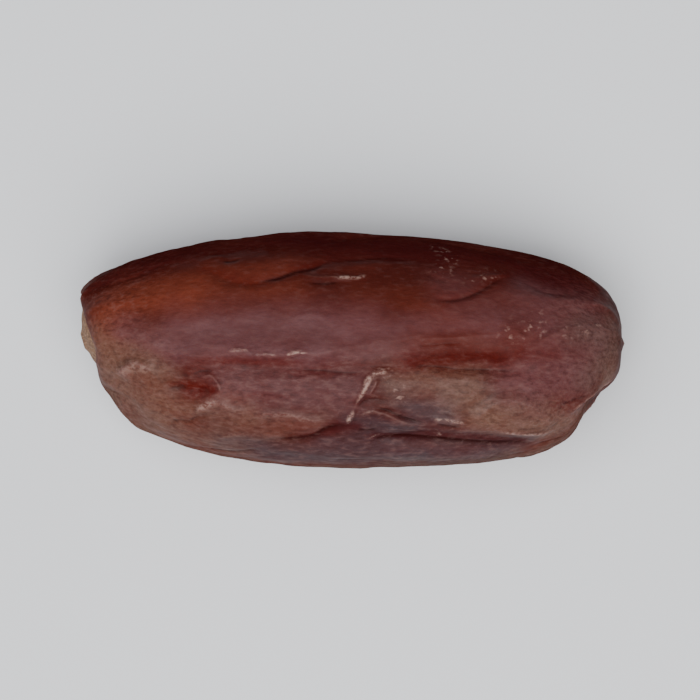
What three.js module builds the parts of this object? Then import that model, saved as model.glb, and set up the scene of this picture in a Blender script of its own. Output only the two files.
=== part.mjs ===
import * as THREE from "three";
import { mergeVertices } from "three/addons/utils/BufferGeometryUtils.js";

// A piarom date lying on its side, in millimetres, with +Z up.
// +X runs from the stem end to the tip. The roll of a place on the skin is 0 on top and grows towards -Y,
// and the rolls of the folds are measured from the crown, a line that runs along the fruit near its top.

// Size and fullness of the fruit
const FRUIT_LENGTH = 49.6;
const FRUIT_WIDTH = 21.6;
const FRUIT_THICKNESS = 19.4;
const PLAN_POWER = 2.45;
const SECTION_POWER = 2.15;

// The fruit's axis: how it leans across, how each end lifts off it, and the slant of the stem end
const AXIS_LEAN = -0.75;
const STEM_LIFT = 0.3;
const TIP_LIFT = 1.5;
const STEM_SLANT = 0.3;
const SLANT_ENDS_AT = -0.72;

// Roll of the crown, in degrees
const CROWN_ROLL = 8;

// The flat that the fruit has settled on, as a depth above its lowest point, and the softness of its edge
const FLAT_DEPTH = 0.9;
const FLAT_EDGE = 0.15;

// Three low crests on the flat, each at [x, y], that the fruit stands on
const CREST_HEIGHT = 0.2;
const CREST_WIDTH = 1.4;
const CRESTS = [[-9.8, 0.2], [7.6, -3.7], [7.6, 3.7]];

// The dried calyx: three lobes with an uneven rim that lifts a little, round a low scar
const CALYX_RADIUS = 3.2;
const CALYX_THICKNESS = 0.45;
const CALYX_RIM_STEP = 0.08;
const CALYX_CURL = 0.05;
const CALYX_LOBES = 3;
const CALYX_LOBE_DEPTH = 0.12;
const CALYX_RINGS = 7;
const CALYX_SIDES = 42;
const SCAR_RIM = 0.57;
const SCAR_RIM_WIDTH = 0.48;
const SCAR_HEIGHT = 0.3;
const SCAR_PIT = 0.12;
const SCAR_PIT_WIDTH = 0.4;

// The full shoulder that the skin swells to round the calyx, and the seat that is sunk into it
const SHOULDER_RADIUS = 4.9;
const SHOULDER_HEIGHT = 0.55;
const SHOULDER_WIDTH = 1.5;
const SEAT_DEPTH = 0.75;
const SEAT_RADIUS = 4.0;
const SEAT_EDGE = 0.8;
const SEAT_GAP = 0.3;

// The dry nib at the tip, in a shallow dimple
const NIB_HEIGHT = 0.4;
const NIB_WIDTH = 0.6;
const DIMPLE_DEPTH = 0.35;
const DIMPLE_WIDTH = 2.0;

// The net of low ridges all over the skin, with a dent in each mesh. It bends in two slow waves, each with
// its size in mm and its radians per mm along x, y and z. It fades from the low flanks up to the smooth top.
const DENT_SEED = 90211;
const DENT_DEPTH = 0.3;
const DENT_LENGTH = 9.6;
const DENT_WIDTH = 5.2;
const DENT_SHAKE = 0.8;
const DENTS_END_AT = 0.97;
const FEWEST_DENTS_ROUND = 5;
const NET_RIDGE_WIDTH = 1.25;
const NET_BENDS = [
  { size: 0.9, along: [0.33, 0, 0.41] },
  { size: 0.5, along: [0.81, -0.3, 0] },
];
const NET_WEAKENS_FROM = -9;
const NET_WEAKEST_FROM = 2;
const NET_LOST_ON_TOP = 0.85;

// The pleats that gather the skin towards each end
const STEM_PLEATS = 13;
const TIP_PLEATS = 10;
const PLEAT_HEIGHT = 0.26;
const PLEAT_VALLEY = 1.6;
const PLEATS_START_AT = [0.28, 0.5]; // girth, as a share of the middle's
const PLEATS_END_AT = [0.72, 0.97];
const PLEATS_WEAKEST_ROLL = 40;
const PLEAT_WEAKEST = 0.2;
const PLEAT_WANDER = [0.5, 0.35]; // radians, of a slow and a quicker wave round the fruit

// Lengthwise wrinkles of the flanks and the underside
const WRINKLE_SEED = 4127;
const WRINKLE_COUNT = 22;
const WRINKLE_FIRST_ROLL = 104;
const WRINKLE_ROLL_SPAN = 192;
const WRINKLE_WANDER = 15;
const WRINKLE_STARTS = [-20, 2];
const WRINKLE_LENGTHS = [9, 21];
const WRINKLE_HEIGHTS = [0.25, 0.5];
const WRINKLE_WIDTHS = [0.85, 1.35];
const WRINKLES_END_AT = 21;

// A fold is lower at both ends of its path, over this share of its length
const FOLD_FADE = 0.25;
const FOLD_END_HEIGHT = 0.3;
const PATH_STEP = 1.2;

// Divisions of the skin along the fruit and round a quarter of it
const LENGTH_DIVISIONS = 66;
const QUARTER_DIVISIONS = 18;

const SKIN_COLOUR = 0x6b352d;
const CALYX_COLOUR = 0xb58d56;

// Folds with a place of their own. A path is a list of [x in mm, roll from the crown in degrees]. A furrow
// has a height below 0.
const FOLDS = [
  // the full corner of the stem end, the flat one of the tip and the flank between them
  { height: 0.6, width: 1.4, path: [[-22.5, 50], [-21.8, 70], [-20.9, 88], [-20.3, 106]] },
  { height: 0.4, width: 2.0, path: [[14.9, 90], [18.4, 86], [21.4, 80]] },
  { height: -1.6, width: 2.4, path: [[23.3, 50], [22.6, 76], [21.9, 108]] },
  { height: -0.2, width: 3.4, path: [[0.5, 94], [6, 93], [11.5, 94]] },
  // the smooth upper flank: a long lobe with a furrow under it, a rib, and a deep dent near the tip
  { height: 0.24, width: 1.5, path: [[-12.7, -47], [-9.8, -47], [-6.9, -49], [-4.2, -53]] },
  { height: -0.2, width: 0.8, path: [[-13.6, -46], [-11, -36], [-8.6, -35], [-5.3, -41], [-1.8, -49]] },
  { height: 0.26, width: 0.9, path: [[-20, -72], [-17.5, -80], [-15.5, -66]] },
  { height: -0.2, width: 0.8, path: [[6.8, -29], [9.8, -30], [12.3, -40], [13.7, -47]] },
  { height: -0.36, width: 2.1, path: [[13.7, -55], [16.6, -50], [19.8, -52]] },
  // the flat band on top, between a soft shoulder and a crest
  { height: 0.18, width: 1.8, path: [[-21.2, -15], [-14.3, -16], [-6.2, -18], [2, -14], [8.5, -16]] },
  { height: 0.3, width: 1.2, path: [[-20.8, -12], [-16.9, 3], [-9, 2], [-4, 1], [3.9, -7]] },
  // the main furrow, the valley that opens out of it, and a groove and a rib that cross to the tip
  { height: -0.32, width: 1.0, path: [[-15.1, 12], [-11.9, 8], [-3.3, 8], [8.1, 6], [14.1, 8], [18.2, 15]] },
  { height: -0.2, width: 1.3, path: [[5, 0], [11.7, -1], [14.9, 0]] },
  { height: -0.2, width: 0.8, path: [[14.7, 1], [16.6, -10], [19, -20]] },
  { height: 0.16, width: 0.8, path: [[16.2, -5], [18.6, -15], [21.8, -25]] },
  // the lower flank near the stem: a knob, a hollow and broken crests
  { height: 0.34, width: 0.9, path: [[-22, 26], [-20.2, 13], [-18.3, 17]] },
  { height: -0.32, width: 0.8, path: [[-16.9, 24], [-15, 23], [-13, 23]] },
  { height: 0.26, width: 0.8, path: [[-14.3, 36], [-12.5, 27.5], [-9.8, 31]] },
  { height: -0.2, width: 0.8, path: [[-17.1, 50], [-15.1, 45], [-13.8, 38]] },
  { height: 0.22, width: 0.8, path: [[-9.4, 35], [-6.5, 31], [-2.9, 35]] },
  { height: -0.2, width: 0.8, path: [[-14.5, 74], [-11.6, 69], [-8.8, 60]] },
  // the middle of the lower flank: a dry ridge, and a puckered split with its lips
  { height: 0.22, width: 0.8, path: [[3, 8.6], [1.3, 11.6], [0.7, 19], [-0.8, 36]] },
  { height: 0.24, width: 0.8, path: [[0.2, 32], [1.9, 28.5], [4.1, 33.5], [6.4, 36]] },
  { height: -0.26, width: 0.8, path: [[2, 26], [3.9, 30], [6.2, 34]] },
  { height: -0.2, width: 1.4, path: [[4.2, 22], [6, 26], [7.7, 28]] },
  // the low fold along the flank, its deep furrow and the roll of skin below
  { height: -0.24, width: 0.8, path: [[-7.4, 49], [-3.7, 44], [-2.7, 39], [-0.2, 37]] },
  { height: 0.16, width: 0.8, path: [[-6.5, 42], [-2.7, 36], [-0.9, 34]] },
  { height: -0.5, width: 1.0, path: [[0.4, 44], [2.9, 44], [6, 44], [9.6, 46], [12.9, 50], [16.6, 63]] },
  { height: 0.28, width: 1.5, path: [[-2.9, 57], [0.4, 55], [3.9, 56], [8.1, 58], [12.5, 64]] },
  // the plump knuckle near the tip with its lower rim, and the pit and the lip beside it
  { height: 0.42, width: 2.1, path: [[12.3, 32], [14.1, 32], [16.2, 38], [18.4, 46]] },
  { height: 0.2, width: 0.8, path: [[12.7, 42], [15.9, 49], [18, 54]] },
  { height: -0.22, width: 0.8, path: [[18.4, 34], [20.4, 35], [21.2, 37]] },
  { height: 0.2, width: 0.8, path: [[19.6, 43], [21.4, 40], [22.2, 41]] },
];

// Repeatable draws from 0 to 1
function drawsFrom(seed) {
  const MULTIPLIER = 16807;
  const MODULUS = 2147483647;
  let state = seed;
  return () => {
    state = (state * MULTIPLIER) % MODULUS;
    return state / MODULUS;
  };
}

const smoothstep = THREE.MathUtils.smoothstep;
const radians = THREE.MathUtils.degToRad;
const bell = (distance, width) => Math.exp(-((distance / width) ** 2));

// Distance of the fruit's axis from the x axis, for a share of the half length from -1 to 1
function axisOffset(share) {
  const lift = share < 0 ? STEM_LIFT : TIP_LIFT;
  return AXIS_LEAN * share + lift * share ** 4;
}

// Radius of the body at a share of the half length, as a share of the radius in the middle
function girth(share) {
  return Math.max(0, 1 - Math.abs(share) ** PLAN_POWER) ** (1 / PLAN_POWER);
}

// A point of the plump body without its folds, with its middle at the origin
function bodyPoint(share, roll) {
  const sine = Math.sin(roll);
  const cosine = Math.cos(roll);
  const powers = Math.abs(sine) ** SECTION_POWER + Math.abs(cosine) ** SECTION_POWER;
  const fullness = powers ** (-1 / SECTION_POWER);
  const across = (-FRUIT_WIDTH / 2) * girth(share) * sine * fullness;
  const up = (FRUIT_THICKNESS / 2) * girth(share) * cosine * fullness;
  const slant = STEM_SLANT * (1 - smoothstep(share, -1, SLANT_ENDS_AT));
  return new THREE.Vector3((FRUIT_LENGTH / 2) * share - slant * across, axisOffset(share) + across, up);
}

// The direction in which the skin faces there
function bodyNormal(share, roll) {
  const sine = Math.sin(roll);
  const cosine = Math.cos(roll);
  const along = (Math.sign(share) * Math.abs(share) ** (PLAN_POWER - 1)) / (FRUIT_LENGTH / 2);
  const out = girth(share) ** (PLAN_POWER - 1);
  const across = (-out * sine) / (FRUIT_WIDTH / 2);
  const up = (out * cosine) / (FRUIT_THICKNESS / 2);
  return new THREE.Vector3(along, across, up).normalize();
}

// A smooth line over the body through places given as [x in mm, roll from the crown in degrees]
function skinPath(places) {
  const points = places.map(([x, roll]) => bodyPoint(x / (FRUIT_LENGTH / 2), radians(CROWN_ROLL + roll)));
  const curve = new THREE.CatmullRomCurve3(points);
  return curve.getSpacedPoints(Math.ceil(curve.getLength() / PATH_STEP));
}

// Nearest place on a line: its distance, and how far along the line it is, from 0 to 1
function nearestOn(line, point) {
  const segment = new THREE.Line3();
  const foot = new THREE.Vector3();
  let distance = Infinity;
  let along = 0;
  for (let i = 0; i + 1 < line.length; i++) {
    segment.set(line[i], line[i + 1]);
    const share = segment.closestPointToPointParameter(point, true);
    const here = segment.at(share, foot).distanceTo(point);
    if (here < distance) {
      distance = here;
      along = (i + share) / (line.length - 1);
    }
  }
  return { distance, along };
}

// Lengthwise wrinkles at drawn places, by turns a crest and a furrow
function flankWrinkles() {
  const draw = drawsFrom(WRINKLE_SEED);
  const between = ([low, high]) => low + (high - low) * draw();
  const wrinkles = [];
  for (let i = 0; i < WRINKLE_COUNT; i++) {
    const start = between(WRINKLE_STARTS);
    const length = between(WRINKLE_LENGTHS);
    const roll = WRINKLE_FIRST_ROLL + (WRINKLE_ROLL_SPAN * (i + draw())) / WRINKLE_COUNT;
    const path = [0, 1 / 3, 2 / 3, 1].map((share) => [
      Math.min(WRINKLES_END_AT, start + length * share),
      roll + WRINKLE_WANDER * (draw() - 0.5),
    ]);
    const side = i % 2 ? -1 : 1;
    wrinkles.push({ height: side * between(WRINKLE_HEIGHTS), width: between(WRINKLE_WIDTHS), path });
  }
  return wrinkles;
}

const SKIN_LINES = [...FOLDS, ...flankWrinkles()].map((fold) => ({ ...fold, line: skinPath(fold.path) }));

// Height of one fold over a point of the body, fading out at both ends of its path
function foldHeight(fold, point) {
  const { distance, along } = nearestOn(fold.line, point);
  const fade = Math.sin((Math.min(1, along / FOLD_FADE, (1 - along) / FOLD_FADE) * Math.PI) / 2);
  return fold.height * THREE.MathUtils.lerp(FOLD_END_HEIGHT, 1, fade) * bell(distance, fold.width);
}

// Middles of the dents, on a staggered grid that each draw shakes
function dentMiddles() {
  const draw = drawsFrom(DENT_SEED);
  const middles = [];
  const rings = Math.round(FRUIT_LENGTH / DENT_LENGTH);
  for (let ring = 0; ring < rings; ring++) {
    const share = -1 + (2 * (ring + 0.5)) / rings;
    const needed = Math.round((Math.PI * FRUIT_WIDTH * girth(share)) / DENT_WIDTH);
    const count = Math.max(FEWEST_DENTS_ROUND, needed);
    for (let i = 0; i < count; i++) {
      const along = share + (2 * DENT_SHAKE * (draw() - 0.5)) / rings;
      const roll = (2 * Math.PI * (i + 0.5 * (ring % 2) + DENT_SHAKE * (draw() - 0.5))) / count;
      middles.push(bodyPoint(THREE.MathUtils.clamp(along, -DENTS_END_AT, DENTS_END_AT), roll));
    }
  }
  return middles;
}

const DENTS = dentMiddles();

// Depth of the net of ridges: 0 on a ridge between two dents, and its full depth inside a dent
function netDepth(point) {
  const stretch = DENT_WIDTH / DENT_LENGTH;
  const bends = NET_BENDS.map(({ size, along }) => size * Math.sin(point.dot(new THREE.Vector3(...along))));
  const sway = bends[0] + bends[1];
  let nearest = Infinity;
  let second = Infinity;
  for (const middle of DENTS) {
    const x = (point.x - middle.x) * stretch;
    const y = point.y + sway - middle.y;
    const z = point.z + sway / 2 - middle.z;
    const distance = Math.sqrt(x * x + y * y + z * z);
    if (distance < nearest) {
      second = nearest;
      nearest = distance;
    } else if (distance < second) {
      second = distance;
    }
  }
  const inside = 1 - bell(second - nearest, NET_RIDGE_WIDTH);
  const strength = 1 - NET_LOST_ON_TOP * smoothstep(point.z, NET_WEAKENS_FROM, NET_WEAKEST_FROM);
  return -DENT_DEPTH * inside * strength;
}

// Pleats that run into one end: sharp crests with round furrows between them, weaker on the front flank
function pleatHeight(share, roll) {
  const count = share < 0 ? STEM_PLEATS : TIP_PLEATS;
  const wander = PLEAT_WANDER[0] * Math.sin(3 * roll + 9 * share) + PLEAT_WANDER[1] * Math.sin(5 * roll + 2);
  const wave = 1 - PLEAT_VALLEY * Math.abs(Math.sin((count * roll) / 2 + wander));
  const start = smoothstep(girth(share), ...PLEATS_START_AT);
  const end = 1 - smoothstep(girth(share), ...PLEATS_END_AT);
  const nearWeakest = (1 + Math.cos(roll - radians(PLEATS_WEAKEST_ROLL))) / 2;
  const strength = THREE.MathUtils.lerp(1, PLEAT_WEAKEST, nearWeakest);
  return PLEAT_HEIGHT * wave * start * end * strength;
}

const STEM_FACING = new THREE.Vector3(-1, -STEM_SLANT, 0).normalize();
const STEM_MIDDLE = bodyPoint(-1, 0);
const TIP_MIDDLE = bodyPoint(1, 0);

// How far the plump end has fallen away at a radius from its middle
function endDrop(radius) {
  const share = (4 * radius) / (FRUIT_WIDTH + FRUIT_THICKNESS);
  return (FRUIT_LENGTH / 2) * (1 - girth(share));
}

const seatHeight = (radius) => -SEAT_DEPTH - endDrop(radius);

// The skin swells to a shoulder round the stem's middle, with a smooth seat sunk into it
function pressSeat(point) {
  const offset = point.clone().sub(STEM_MIDDLE);
  const height = offset.dot(STEM_FACING);
  const radius = offset.addScaledVector(STEM_FACING, -height).length();
  if (height < -FRUIT_LENGTH / 4) return;
  const seat = 1 - smoothstep(radius, SEAT_RADIUS, SEAT_RADIUS + SEAT_EDGE);
  const swollen = height + SHOULDER_HEIGHT * bell(radius - SHOULDER_RADIUS, SHOULDER_WIDTH);
  const pressed = THREE.MathUtils.lerp(swollen, seatHeight(radius), seat);
  point.addScaledVector(STEM_FACING, pressed - height);
}

function tipHeight(point) {
  const radius = Math.hypot(point.y - TIP_MIDDLE.y, point.z - TIP_MIDDLE.z);
  if (point.x < FRUIT_LENGTH / 4) return 0;
  return NIB_HEIGHT * bell(radius, NIB_WIDTH) - DIMPLE_DEPTH * bell(radius, DIMPLE_WIDTH);
}

// Height above the flat: 0 below it, and a short round edge where the skin leaves it
function settle(height) {
  if (height <= -FLAT_EDGE) return 0;
  if (height >= FLAT_EDGE) return height;
  return (height + FLAT_EDGE) ** 2 / (4 * FLAT_EDGE);
}

// How far the skin reaches down below the flat, at the crests that the fruit stands on
function crestDepth(point) {
  if (point.z > FRUIT_THICKNESS / 4) return 0;
  const nearest = Math.min(...CRESTS.map(([x, y]) => Math.hypot(point.x - x, point.y - y)));
  return CREST_HEIGHT * bell(nearest, CREST_WIDTH);
}

// A point of the finished skin, for a direction out of the fruit's middle
function skinPoint(direction) {
  const share = direction.x;
  const roll = Math.atan2(-direction.y, direction.z);
  const point = bodyPoint(share, roll);
  let height = netDepth(point) + pleatHeight(share, roll) + tipHeight(point);
  for (const fold of SKIN_LINES) height += foldHeight(fold, point);
  const skin = point.addScaledVector(bodyNormal(share, roll), height);
  pressSeat(skin);
  skin.z = settle(skin.z + FRUIT_THICKNESS / 2 - FLAT_DEPTH);
  skin.z -= crestDepth(skin);
  return skin;
}

// Moves every vertex of a geometry, after joining those that meet, and gives it its normals again
function reshape(geometry, move) {
  geometry.deleteAttribute("normal");
  geometry.deleteAttribute("uv");
  const joined = mergeVertices(geometry);
  const position = joined.getAttribute("position");
  const vertex = new THREE.Vector3();
  for (let i = 0; i < position.count; i++) {
    const moved = move(vertex.fromBufferAttribute(position, i));
    position.setXYZ(i, moved.x, moved.y, moved.z);
  }
  joined.computeVertexNormals();
  return joined;
}

// The fruit: flesh and skin in one body, from a divided box blown up to the skin
function makeFruit() {
  const box = new THREE.BoxGeometry(2, 2, 2, LENGTH_DIVISIONS, QUARTER_DIVISIONS, QUARTER_DIVISIONS);
  const evenAngle = (coordinate) => Math.tan((coordinate * Math.PI) / 4);
  const skin = reshape(box, (corner) => {
    const direction = new THREE.Vector3(evenAngle(corner.x), evenAngle(corner.y), evenAngle(corner.z));
    return skinPoint(direction.normalize());
  });
  const material = new THREE.MeshStandardMaterial({ color: SKIN_COLOUR, roughness: 0.42, metalness: 0 });
  const fruit = new THREE.Mesh(skin, material);
  fruit.name = "date_fruit";
  return fruit;
}

// Half of the calyx's section, from the middle of its underside out to the rim and back over the scar
function calyxProfile() {
  const under = (radius) => seatHeight(radius) + SEAT_GAP;
  const scarRim = (radius) => SCAR_HEIGHT * bell(radius - SCAR_RIM, SCAR_RIM_WIDTH);
  const scar = (radius) => scarRim(radius) - SCAR_PIT * bell(radius, SCAR_PIT_WIDTH);
  const over = (radius) => under(radius) + CALYX_THICKNESS + scar(radius);
  const radii = Array.from({ length: CALYX_RINGS }, (_, i) => (CALYX_RADIUS * i) / (CALYX_RINGS - 1));
  const upperEdge = CALYX_RADIUS - CALYX_RIM_STEP;
  const lower = radii.map((radius) => new THREE.Vector2(radius, under(radius)));
  const upper = radii.map((radius) => new THREE.Vector2(Math.min(radius, upperEdge), over(radius)));
  return [...lower, ...upper.reverse()];
}

// How far the rim of the calyx reaches out: three lobes, made uneven by two smaller waves
function lobeWave(angle) {
  return Math.cos(CALYX_LOBES * angle) + 0.35 * Math.sin(2 * angle + 1) + 0.25 * Math.cos(7 * angle);
}

// How far the rim of the calyx lifts off its seat: most at the lobes, and nowhere below 0
function curlWave(angle) {
  return 1.6 + Math.cos(CALYX_LOBES * angle + 0.5) + 0.6 * Math.sin(5 * angle);
}

// The calyx: a dry cap that follows the end of the fruit, with a scar where the strand broke off
function makeCalyx() {
  const dish = new THREE.LatheGeometry(calyxProfile(), CALYX_SIDES);
  const scrap = reshape(dish, (vertex) => {
    const angle = Math.atan2(vertex.z, vertex.x);
    const share = Math.hypot(vertex.x, vertex.z) / CALYX_RADIUS;
    const spread = 1 + CALYX_LOBE_DEPTH * lobeWave(angle) * share ** 2;
    const curl = CALYX_CURL * curlWave(angle) * share ** 3;
    return new THREE.Vector3(vertex.x * spread, vertex.y + curl, vertex.z * spread);
  });
  const material = new THREE.MeshStandardMaterial({ color: CALYX_COLOUR, roughness: 0.85, metalness: 0 });
  const calyx = new THREE.Mesh(scrap, material);
  calyx.name = "calyx";
  calyx.quaternion.setFromUnitVectors(new THREE.Vector3(0, 1, 0), STEM_FACING);
  calyx.position.copy(STEM_MIDDLE);
  calyx.position.z += FRUIT_THICKNESS / 2 - FLAT_DEPTH;
  return calyx;
}

const date = new THREE.Group();
date.name = "piarom_date";
date.add(makeFruit(), makeCalyx());

// The origin goes under the middle of the whole date, level with its lowest point
const bounds = new THREE.Box3().setFromObject(date, true);
const middle = bounds.getCenter(new THREE.Vector3());
date.position.set(-middle.x, -middle.y, -bounds.min.z);

export default date;
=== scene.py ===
import math
from collections import namedtuple
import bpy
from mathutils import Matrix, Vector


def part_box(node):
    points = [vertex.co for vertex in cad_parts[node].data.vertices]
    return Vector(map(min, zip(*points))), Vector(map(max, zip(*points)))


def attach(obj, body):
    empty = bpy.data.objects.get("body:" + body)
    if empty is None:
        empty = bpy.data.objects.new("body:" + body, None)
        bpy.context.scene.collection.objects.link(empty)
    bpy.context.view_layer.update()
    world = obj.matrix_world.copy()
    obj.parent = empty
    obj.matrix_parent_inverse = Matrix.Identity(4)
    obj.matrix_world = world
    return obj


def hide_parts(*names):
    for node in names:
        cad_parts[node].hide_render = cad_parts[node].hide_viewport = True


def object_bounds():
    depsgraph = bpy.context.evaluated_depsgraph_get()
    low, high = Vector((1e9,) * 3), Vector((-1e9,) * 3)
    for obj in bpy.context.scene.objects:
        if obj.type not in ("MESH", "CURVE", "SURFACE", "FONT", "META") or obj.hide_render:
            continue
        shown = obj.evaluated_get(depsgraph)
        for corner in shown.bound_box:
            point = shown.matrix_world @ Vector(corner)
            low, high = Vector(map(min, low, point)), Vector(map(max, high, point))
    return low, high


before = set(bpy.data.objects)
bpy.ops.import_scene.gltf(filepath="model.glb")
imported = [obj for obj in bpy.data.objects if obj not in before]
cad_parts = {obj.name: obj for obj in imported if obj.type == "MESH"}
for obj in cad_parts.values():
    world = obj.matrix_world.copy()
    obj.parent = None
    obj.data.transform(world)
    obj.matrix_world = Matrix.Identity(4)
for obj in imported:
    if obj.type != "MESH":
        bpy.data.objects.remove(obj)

from types import SimpleNamespace

import bmesh
import bpy
import numpy as np
from mathutils import Vector, noise

# A piarom date on its side. Shapes are worked out in millimetres, with the middle of the plump body at the
# origin, +X towards the tip, +Z up, and the roll of a place on the skin 0 on top and growing towards -Y.
# The rolls of folds and patches are in degrees from the crown, the line that the camera looks straight at.

MM = 0.001
CAD_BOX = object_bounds()

# Size and fullness of the fruit. A share is a place along it, from -1 at the stem end to 1 at the tip.
FRUIT_LENGTH = 49.6
FRUIT_WIDTH = 21.6
FRUIT_THICKNESS = 19.4
PLAN_POWER = 2.45
SECTION_POWER = 2.15
AXIS_LEAN = -0.75
STEM_LIFT = 0.3
TIP_LIFT = 1.5
STEM_SLANT = 0.3
SLANT_ENDS_AT = -0.72
HALF_LENGTH = FRUIT_LENGTH / 2
CROWN_ROLL = 8

# The flat that it has settled on, and the three low crests at x and y that it stands on
FLAT_DEPTH = 0.9
FLAT_EDGE = 0.15
CREST_HEIGHT = 0.2
CREST_WIDTH = 1.4
CRESTS = [(-9.8, 0.2), (7.6, -3.7), (7.6, 3.7)]

# The full shoulder round the calyx, with a seat sunk into it that hugs the calyx, and the nib at the tip
SHOULDER_RADIUS = 4.9
SHOULDER_HEIGHT = 0.55
SHOULDER_WIDTH = 1.5
SEAT_DEPTH = 0.42
SEAT_MARGIN = 0.1
SEAT_EDGE = 0.45
SEAT_GAP = 0.02
NIB_HEIGHT = 0.4
NIB_WIDTH = 0.6
DIMPLE_DEPTH = 0.35
DIMPLE_WIDTH = 2.0

# A wave round the calyx: its size, how many go round, where it starts, and how far and how often it sways
Wave = namedtuple("Wave", "size count start sway sways", defaults=(0, 0, 0))
QUARTER_TURN = math.pi / 2

# The calyx: three lobes with a ragged rim, round the scar of the strand
CALYX_RADIUS = 3.2
CALYX_THICKNESS = 0.4
CALYX_EDGE_THICKNESS = 0.12
CALYX_CURL = 0.03
CALYX_CURL_LEAST = 1.6
CALYX_CURL_WAVES = [Wave(1, 3, QUARTER_TURN + 0.5), Wave(0.6, 5)]
CALYX_LOBE_DEPTH = 0.12
CALYX_LOBE_WAVES = [Wave(1, 3, QUARTER_TURN), Wave(0.35, 2, 1), Wave(0.25, 7, QUARTER_TURN)]
CALYX_RAGGEDNESS = 0.035
CALYX_RAGGED_WAVES = [Wave(1, 11, 0, 3, 2), Wave(0.7, 23, 2)]
CALYX_RIB_HEIGHT = 0.05
CALYX_RIB_WAVES = [Wave(1, 17, 0, 2, 3), Wave(0.6, 31, 1)]
CALYX_RINGS = 40
CALYX_SIDES = 240
SCAR_RIM = 0.57
SCAR_RIM_WIDTH = 0.48
SCAR_HEIGHT = 0.3
SCAR_PIT = 0.12
SCAR_PIT_WIDTH = 0.4

# The net of low ridges with a dent in each mesh, and the two slow waves that bend it: how far, how fast along
# each axis in radians per millimetre, and towards where
DENT_SEED = 90211
DENT_DEPTH = 0.3
DENT_LENGTH = 9.6
DENT_WIDTH = 5.2
DENT_SHAKE = 0.8
DENTS_END_AT = 0.97
FEWEST_DENTS_ROUND = 5
NET_RIDGE_WIDTH = 1.25
NET_BENDS = [(0.9, (0.33, 0, 0.41)), (0.5, (0.81, -0.3, 0))]
NET_BENDS_TOWARDS = (0, 1, 0.5)
NET_WEAKENS_FROM = -9
NET_WEAKEST_FROM = 2
NET_LOST_ON_TOP = 0.85

# The pleats at both ends, and the waves that they wander by: radians, waves round, turn along, and start
STEM_PLEATS = 13
TIP_PLEATS = 10
PLEAT_HEIGHT = 0.26
PLEAT_VALLEY = 1.6
PLEATS_START_AT = (0.28, 0.5)
PLEATS_END_AT = (0.72, 0.97)
PLEATS_WEAKEST_ROLL = 40
PLEAT_WEAKEST = 0.2
PLEAT_WANDERS = [(0.5, 3, 9, 0), (0.35, 5, 0, 2)]

# Lengthwise wrinkles of the flanks and the underside. The upper side's width is a share of the lower side's.
WRINKLE_SEED = 4127
WRINKLE_COUNT = 22
WRINKLE_FIRST_ROLL = 104
WRINKLE_ROLL_SPAN = 192
WRINKLE_WANDER = 15
WRINKLE_STARTS = (-20, 2)
WRINKLE_LENGTHS = (9, 21)
WRINKLE_HEIGHTS = (0.25, 0.5)
WRINKLE_WIDTHS = (0.85, 1.35)
WRINKLE_UPPER_WIDTH = 0.75
WRINKLE_POWER = 1.6
WRINKLE_KNOTS = 4
WRINKLES_END_AT = 21

# A fold is lower at both ends of its path, over this share of its length
FOLD_FADE = 0.25
FOLD_END_HEIGHT = 0.3

# Length of a step along a path, and how many widths out from it a fold or a patch is worked out
PATH_STEP = 0.8
SHARP_FOLD_POWER = 1.5
SHARP_FOLD_REACH = 4.5
ROUND_FOLD_REACH = 2.8
PATCH_REACH = 2.6

# The smooth part of the skin, on the upper flank and the flat band: where it starts with height and towards
# the back, and how it fades out at both ends
SMOOTH_BY_HEIGHT = (2, 7)
SMOOTH_TOWARDS_BACK = (-3.5, 0.5)
SMOOTH_HALF_LENGTH = 22
SMOOTH_END_FADE = 7

# Noise: the step from one seed to the next, and the ridged kind's roughness, spacing, offset, gain and spread
NOISE_SEED_STEP = np.array([17.3, 5.1, 9.7])
RIDGE_SEED_STEP = np.array([7.9, 13.7, 3.3])
RIDGE_ROUGHNESS = 0.9
RIDGE_SPACING = 2.1
RIDGE_OFFSET = 1.0
RIDGE_GAIN = 2.0
RIDGE_SPREAD = 2.2

# Noise that shakes what is laid over the skin: its size along each axis, its reach and its seed
Shake = namedtuple("Shake", "size reach seed")
CRUMPLE_SHAKE = Shake((7, 4, 4), 1.3, 3)
PATCH_SHAKE = Shake((3, 1.6, 1.6), 0.55, 30)

# Crumpling of the dried skin: broad, middling and fine, and how it varies, on top and on the smooth part
Crumple = namedtuple("Crumple", "height size seed octaves")
CRUMPLES = [
    Crumple(0.11, (7.5, 2.8, 2.8), 1, 3),
    Crumple(0.06, (3.6, 1.3, 1.3), 4, 2),
    Crumple(0.025, (1.5, 0.7, 0.7), 5, 2),
]
CRUMPLE_VARIES_BY = 0.4
CRUMPLE_VARIES_OVER = (9, 5, 5)
CRUMPLE_SEED = 8
CRUMPLE_TOP = (-3, 1)
CRUMPLE_ON_TOP = 0.6
CRUMPLE_ON_SMOOTH = 0.2

# Rounds of averaging that tell what stands out from the skin round it, broadly and finely
RISE_ROUNDS = 60
FINE_RISE_ROUNDS = 8

# Divisions of the skin along the fruit and round a quarter of it, how much closer they lie on top, and how
# near each other two vertices are joined
LENGTH_DIVISIONS = 222
QUARTER_DIVISIONS = 92
TOP_FOCUS = 0.42
SAME_PLACE = 0.001

# The pale floor that the date lies on, in metres
FLOOR_HALF_WIDTH = 1.5
FLOOR_COLOUR = (226, 229, 234)
FLOOR_ROUGHNESS = 0.7

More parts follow.
